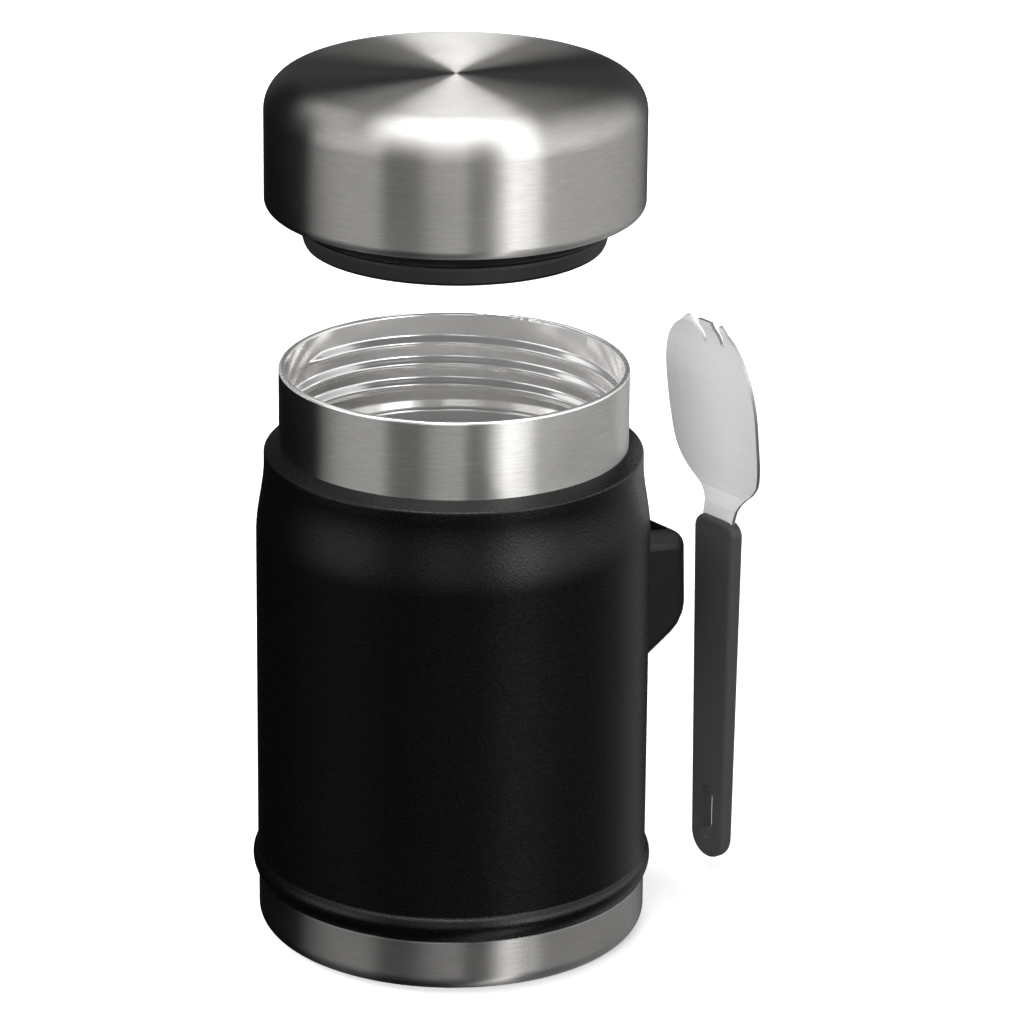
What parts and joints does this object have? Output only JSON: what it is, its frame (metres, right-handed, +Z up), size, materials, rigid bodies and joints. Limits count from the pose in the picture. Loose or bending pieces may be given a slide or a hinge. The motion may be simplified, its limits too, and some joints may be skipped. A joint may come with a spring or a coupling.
{
  "type": "insulated food jar",
  "caption": "Double-walled insulated food jar with a screw-on lid lifted off its threaded mouth, a side loop, and a spork standing beside it.",
  "frame": {"origin": "middle of the underside of the jar's steel base, on the ground", "axes": "+Z up along the jar's axis; +X through the loop for the spork; +Y to the left of the loop as seen from outside"},
  "size_m": [0.1129, 0.0902, 0.1986],
  "materials": {
    "outer_shell": "matte",
    "neck_band": "satin",
    "inner_liner": "satin",
    "liner_base": "satin",
    "shell_base": "satin",
    "getter": "satin",
    "port_seal": "gloss",
    "base_cup": "satin",
    "spork_holder": "matte",
    "holder_bracket": "satin",
    "lid_cap": "satin",
    "lid_plug": "satin",
    "lid_foam": "matte",
    "lid_seal": "matte",
    "plug_base": "satin",
    "spork_blade": "satin",
    "spork_handle": "matte"
  },
  "bodies": {
    "jar": {"outer_shell": "outer_shell", "neck_band": "neck_band", "inner_liner": "inner_liner", "liner_base": "liner_base", "shell_base": "shell_base", "getter": "getter", "port_seal": "port_seal", "base_cup": "base_cup", "spork_holder": "spork_holder", "holder_bracket": "holder_bracket"},
    "lid_ring": {"lid_seal": "lid_seal", "lid_foam": "lid_foam"},
    "lid": {"lid_cap": "lid_cap", "lid_plug": "lid_plug", "plug_base": "plug_base"},
    "spork": {"spork_blade": "spork_blade", "spork_handle": "spork_handle"}
  },
  "joints": [
    {"name": "lid_travel", "type": "slide", "parent": "jar", "child": "lid_ring", "axis": [0, 0, 1], "range_m": [-0.0545, 0]},
    {"name": "lid_turn", "type": "hinge", "parent": "lid_ring", "child": "lid", "pos_m": [0, 0, 0.1688], "axis": [0, 0, 1], "range_deg": [-3924, 0]},
    {"name": "spork_lift", "type": "slide", "parent": "jar", "child": "spork", "axis": [0, 0, 1], "range_m": [0, 0.075]}
  ],
  "couplings": [
    {"joint": "lid_travel", "follows": "lid_turn", "m_per_rad": 0.00079577}
  ]
}
